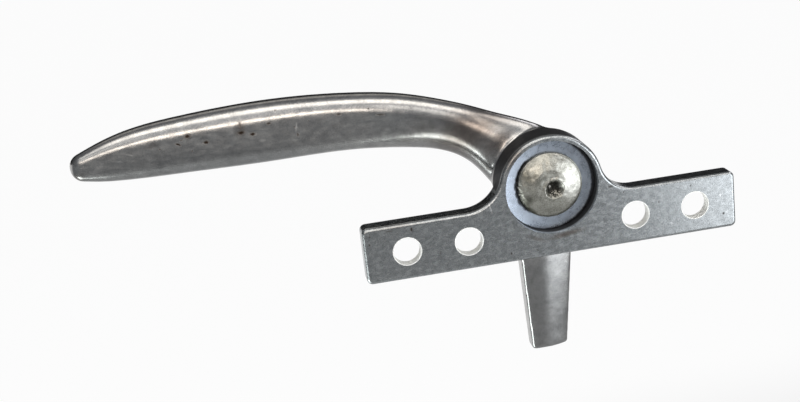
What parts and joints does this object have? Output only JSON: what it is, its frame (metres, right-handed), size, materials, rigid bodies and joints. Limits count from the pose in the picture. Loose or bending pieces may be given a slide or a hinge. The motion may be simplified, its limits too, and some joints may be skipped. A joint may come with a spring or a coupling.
{
  "type": "casement window cam handle",
  "caption": "Cast casement window handle: a curved grip and a cam nose turn together on a spindle that is spun over in the counterbored boss of a straight screw plate.",
  "frame": {"origin": "on the spindle's axis, in the plane of the base plate's back face, which lies on the sash", "axes": "+X along the base plate and away from the grip, +Y from the sash into the room, +Z from the cam nose towards the grip"},
  "size_m": [0.1479, 0.0314, 0.0655],
  "materials": {
    "plate_bronze": "satin cast white bronze with small pits and scuffs",
    "handle_bronze": "satin cast white bronze, lightly polished, with small casting pits",
    "washer_steel": "bluish zinc-plated steel",
    "spring_steel": "dark spring steel"
  },
  "bodies": {
    "base": {"base_plate": "plate_bronze", "spring_washer": "spring_steel", "flat_washer": "washer_steel"},
    "handle": {"cam_handle": "handle_bronze"}
  },
  "joints": [
    {"name": "handle_turn", "type": "hinge", "parent": "base", "child": "handle", "pos_m": [0, 0, 0], "axis": [0, 1, 0], "range_deg": [0, 90]}
  ]
}
